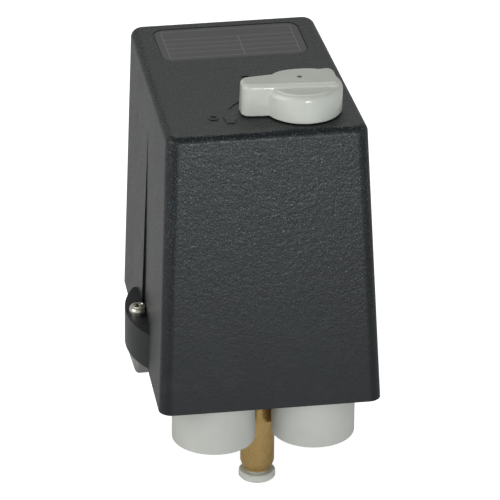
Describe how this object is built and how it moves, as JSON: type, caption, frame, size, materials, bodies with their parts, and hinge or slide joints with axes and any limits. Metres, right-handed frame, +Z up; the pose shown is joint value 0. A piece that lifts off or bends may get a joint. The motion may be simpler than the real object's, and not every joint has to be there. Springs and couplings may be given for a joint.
{
  "type": "pressure switch",
  "caption": "Compressor pressure switch: tapered black cover with a grey off knob, flange port, two cable glands and an unloader valve.",
  "frame": {"origin": "centre of the pressure port's mouth", "axes": "+Z up along the port's axis, into the switch; -Y towards the front with the knob, glands and valve; +X to the right seen from the front"},
  "size_m": [0.0864, 0.11, 0.1529],
  "materials": {
    "cover_plastic": "fine spark-eroded texture",
    "plate_film": "smooth satin",
    "grey_plastic": "smooth gloss",
    "gland_plastic": "smooth satin",
    "black_plastic": "moulded",
    "thermoset": "moulded thermoset",
    "zinc_casting": "as cast, lightly tumbled",
    "zinc_steel": "zinc plated",
    "spring_steel": "drawn wire",
    "brass": "turned, polished",
    "rubber": "moulded"
  },
  "bodies": {
    "housing": {"cover": "cover_plastic", "rating_plate": "plate_film", "pressure_flange": "zinc_casting", "diaphragm": "rubber", "flange_screws": "zinc_steel", "cover_screws": "zinc_steel", "base": "black_plastic", "frame": "zinc_steel", "rocker_pin": "zinc_steel", "main_spring": "spring_steel", "differential_spring": "spring_steel", "off_lever_pin": "zinc_steel", "contact_block": "thermoset", "fixed_contacts": "brass", "terminal_screws": "zinc_steel", "terminal_clamps": "zinc_steel", "earth_clamp": "zinc_steel", "earth_screw": "zinc_steel", "gland_bodies": "gland_plastic", "gland_seals": "rubber", "gland_locknuts": "gland_plastic", "valve_body": "brass", "valve_locknut": "brass", "valve_spring": "spring_steel", "tube_seal": "rubber"},
    "knob": {"knob": "grey_plastic", "knob_shaft": "grey_plastic", "shaft_seal": "rubber", "retaining_clip": "spring_steel"},
    "off_lever": {"off_lever": "zinc_steel"},
    "rocker": {"rocker": "zinc_steel", "main_spring_seat": "zinc_steel"},
    "carrier": {"contact_carrier": "thermoset", "contact_bridges": "brass", "contact_springs": "spring_steel"},
    "plunger": {"diaphragm_plunger": "zinc_steel"},
    "valve_pin": {"valve_plunger": "brass", "valve_seal": "rubber"},
    "release_ring": {"release_ring": "grey_plastic"},
    "gland_nut_left": {"gland_nut_left": "gland_plastic"},
    "gland_nut_right": {"gland_nut_right": "gland_plastic"},
    "main_screw": {"main_adjusting_screw": "zinc_steel"},
    "main_nut": {"main_spring_nut": "zinc_steel"},
    "differential_screw": {"differential_adjusting_screw": "zinc_steel"},
    "differential_nut": {"differential_spring_nut": "zinc_steel"}
  },
  "joints": [
    {"name": "knob_turn", "type": "hinge", "parent": "housing", "child": "knob", "pos_m": [0.0152, -0.022, 0.1142], "axis": [0, 0, 1], "range_deg": [-40, 0]},
    {"name": "off_lever_swing", "type": "hinge", "parent": "housing", "child": "off_lever", "pos_m": [0.0197, -0.014, 0.07], "axis": [1, 0, 0], "range_deg": [-0.2, 8.2]},
    {"name": "rocker_tilt", "type": "hinge", "parent": "housing", "child": "rocker", "pos_m": [0, 0.016, 0.0335], "axis": [1, 0, 0], "range_deg": [0, 3]},
    {"name": "contact_travel", "type": "slide", "parent": "housing", "child": "carrier", "axis": [0, 0, -1], "range_m": [0, 0.0026]},
    {"name": "plunger_travel", "type": "slide", "parent": "housing", "child": "plunger", "axis": [0, 0, -1], "range_m": [0, 0.00083], "deforming": ["diaphragm"]},
    {"name": "valve_pin_travel", "type": "slide", "parent": "housing", "child": "valve_pin", "axis": [0, 0, -1], "range_m": [0, 0.0024], "deforming": ["valve_spring"]},
    {"name": "ring_press", "type": "slide", "parent": "housing", "child": "release_ring", "axis": [0, 0, 1], "range_m": [0, 0.0007], "stiffness_N_per_m": 400},
    {"name": "gland_nut_left_turn", "type": "hinge", "parent": "housing", "child": "gland_nut_left", "pos_m": [-0.01775, -0.0365, 0], "axis": [0, 0, -1], "range_deg": [-360, 0]},
    {"name": "gland_nut_right_turn", "type": "hinge", "parent": "housing", "child": "gland_nut_right", "pos_m": [0.01775, -0.0365, 0], "axis": [0, 0, -1], "range_deg": [-360, 0]},
    {"name": "main_screw_turn", "type": "hinge", "parent": "housing", "child": "main_screw", "pos_m": [0, 0, 0.092], "axis": [0, 0, 1], "range_deg": [-1080, 1080]},
    {"name": "main_nut_travel", "type": "slide", "parent": "housing", "child": "main_nut", "axis": [0, 0, 1], "range_m": [-0.00299, 0.00299], "deforming": ["main_spring"]},
    {"name": "differential_screw_turn", "type": "hinge", "parent": "housing", "child": "differential_screw", "pos_m": [0, -0.014, 0.092], "axis": [0, 0, 1], "range_deg": [-1080, 1080]},
    {"name": "differential_nut_travel", "type": "slide", "parent": "housing", "child": "differential_nut", "axis": [0, 0, 1], "range_m": [-0.00209, 0.00209], "deforming": ["differential_spring"]}
  ],
  "couplings": [
    {"joint": "off_lever_swing", "follows": "knob_turn", "ratio": -0.195},
    {"joint": "rocker_tilt", "follows": "plunger_travel", "rad_per_m": 62.5},
    {"joint": "contact_travel", "follows": "plunger_travel", "ratio": 2.83},
    {"joint": "valve_pin_travel", "follows": "plunger_travel", "ratio": 2.6125},
    {"joint": "main_screw_turn", "follows": "main_nut_travel", "rad_per_m": 6283.2},
    {"joint": "differential_screw_turn", "follows": "differential_nut_travel", "rad_per_m": 8976}
  ]
}
